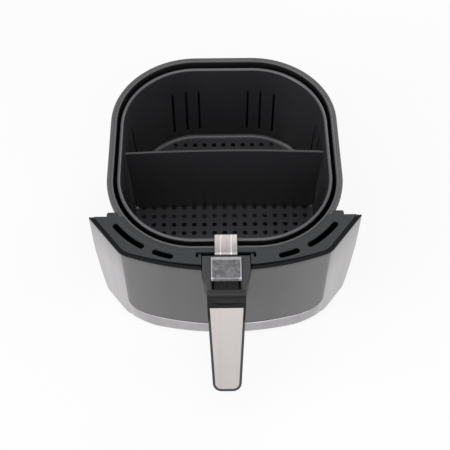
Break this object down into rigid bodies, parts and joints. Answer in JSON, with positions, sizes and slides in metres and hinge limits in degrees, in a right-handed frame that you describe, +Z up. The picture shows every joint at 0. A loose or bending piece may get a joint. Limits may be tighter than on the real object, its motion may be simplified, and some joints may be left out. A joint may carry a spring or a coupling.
{
  "type": "air fryer drawer",
  "caption": "Air fryer drawer: outer pan with swept front panel, lift-out perforated basket with latching handle, guarded release button and removable divider.",
  "frame": {"origin": "centre of the pan's flat base, on the table", "axes": "+Z up, -Y towards the handle, +X to the right of someone facing the handle"},
  "size_m": [0.2842, 0.3822, 0.14],
  "materials": {
    "pan_coating": "satin non-stick coating",
    "bracket_steel": "plain pressed steel",
    "fastener_steel": "zinc plated",
    "frame_plastic": "fine texture",
    "panel_finish": "silver-grey metallic",
    "deck_plastic": "fine texture",
    "basket_coating": "non-stick coating",
    "strap_steel": "brushed",
    "handle_plastic": "satin",
    "plate_steel": "fine brushed",
    "spring_steel": "drawn wire",
    "latch_plastic": "satin",
    "button_plastic": "satin",
    "guard_clear": "clear polycarbonate",
    "divider_coating": "non-stick coating"
  },
  "bodies": {
    "drawer": {"outer_pan": "pan_coating", "pan_bracket": "bracket_steel", "pan_rivets": "fastener_steel", "catch_plate": "bracket_steel", "front_frame": "frame_plastic", "frame_screws": "fastener_steel", "front_panel": "panel_finish", "panel_screws": "fastener_steel", "front_deck": "deck_plastic", "deck_screws": "fastener_steel"},
    "basket": {"basket": "basket_coating", "handle_strap": "strap_steel", "strap_rivets": "fastener_steel", "handle_housing": "handle_plastic", "strap_screws": "fastener_steel", "grip_back": "handle_plastic", "grip_screws": "fastener_steel", "handle_plate": "plate_steel", "latch_pin": "fastener_steel", "button_spring": "spring_steel"},
    "latch": {"release_latch": "latch_plastic"},
    "button": {"release_button": "button_plastic"},
    "guard": {"button_guard": "guard_clear"},
    "divider": {"divider": "divider_coating"}
  },
  "joints": [
    {"name": "basket_lift", "type": "slide", "parent": "drawer", "child": "basket", "axis": [0, 0, 1], "range_m": [0, 0.14]},
    {"name": "divider_lift", "type": "slide", "parent": "basket", "child": "divider", "axis": [0, 0, 1], "range_m": [0, 0.125]},
    {"name": "guard_slide", "type": "slide", "parent": "basket", "child": "guard", "axis": [0, -1, 0], "range_m": [0, 0.0105]},
    {"name": "button_press", "type": "slide", "parent": "basket", "child": "button", "axis": [0, 0, -1], "range_m": [0, 0.003], "stiffness_N_per_m": 600, "springref_m": -0.002, "deforming": ["button_spring"]},
    {"name": "latch_swing", "type": "hinge", "parent": "basket", "child": "latch", "pos_m": [0, -0.1525, 0.124], "axis": [1, 0, 0], "range_deg": [-25.5, 0]}
  ],
  "couplings": [
    {"joint": "latch_swing", "follows": "button_press", "rad_per_m": -145}
  ]
}
